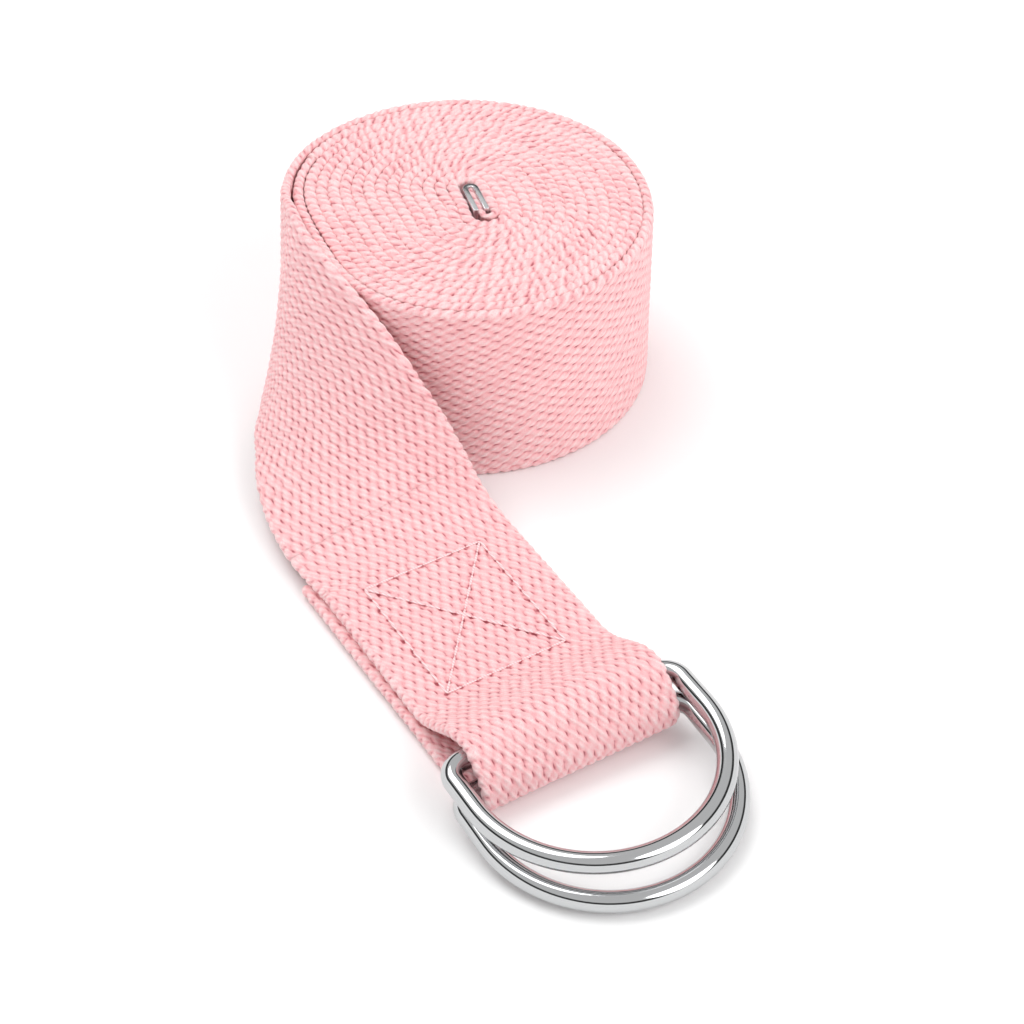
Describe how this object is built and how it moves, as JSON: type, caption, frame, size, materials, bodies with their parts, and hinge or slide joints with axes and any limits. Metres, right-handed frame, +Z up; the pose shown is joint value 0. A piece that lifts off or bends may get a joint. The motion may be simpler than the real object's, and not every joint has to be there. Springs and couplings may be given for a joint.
{
  "type": "stretching strap",
  "caption": "Cotton webbing yoga and stretching strap, rolled up on edge, with a box-X stitched loop holding two D-rings and a metal tip on its inner end.",
  "frame": {"origin": "on the underside of the roll, on the lower edge of the first turn of webbing beside the metal tip, near the roll's centre", "axes": "+Z up out of the roll's top, along the webbing's width; +Y from the D-rings' end towards the roll, the long way of the object as it lies"},
  "size_m": [0.0885, 0.1811, 0.0419],
  "materials": {
    "webbing": "woven cotton, matte",
    "ring_metal": "polished chrome plate on steel wire",
    "tip_metal": "nickel plated sheet, satin",
    "thread": "polyester sewing thread, slight sheen"
  },
  "bodies": {
    "roll": {"rolled_webbing": "webbing", "end_tip": "tip_metal"},
    "run": {"webbing_run": "webbing"},
    "sewn_end": {"sewn_loop": "webbing", "needle_thread": "thread", "bobbin_thread": "thread"},
    "ring_above": {"upper_ring": "ring_metal"},
    "ring_below": {"lower_ring": "ring_metal"}
  },
  "joints": [
    {"name": "run_swing", "type": "hinge", "parent": "roll", "child": "run", "pos_m": [-0.03491, 0.0083, 0.019], "axis": [0, 0, 1], "range_deg": [-60, 0]},
    {"name": "end_lift", "type": "hinge", "parent": "run", "child": "sewn_end", "pos_m": [-0.01451, -0.0555, 0.00851], "axis": [-0.8459, -0.4836, -0.225], "range_deg": [0, 60]},
    {"name": "upper_ring_swing", "type": "hinge", "parent": "sewn_end", "child": "ring_above", "pos_m": [0.01748, -0.10776, 0.00868], "axis": [-0.8603, -0.5088, -0.0314], "range_deg": [0, 160]},
    {"name": "lower_ring_swing", "type": "hinge", "parent": "sewn_end", "child": "ring_below", "pos_m": [0.01946, -0.11112, 0.00473], "axis": [-0.8603, -0.5088, -0.0314], "range_deg": [-120, 0]}
  ]
}
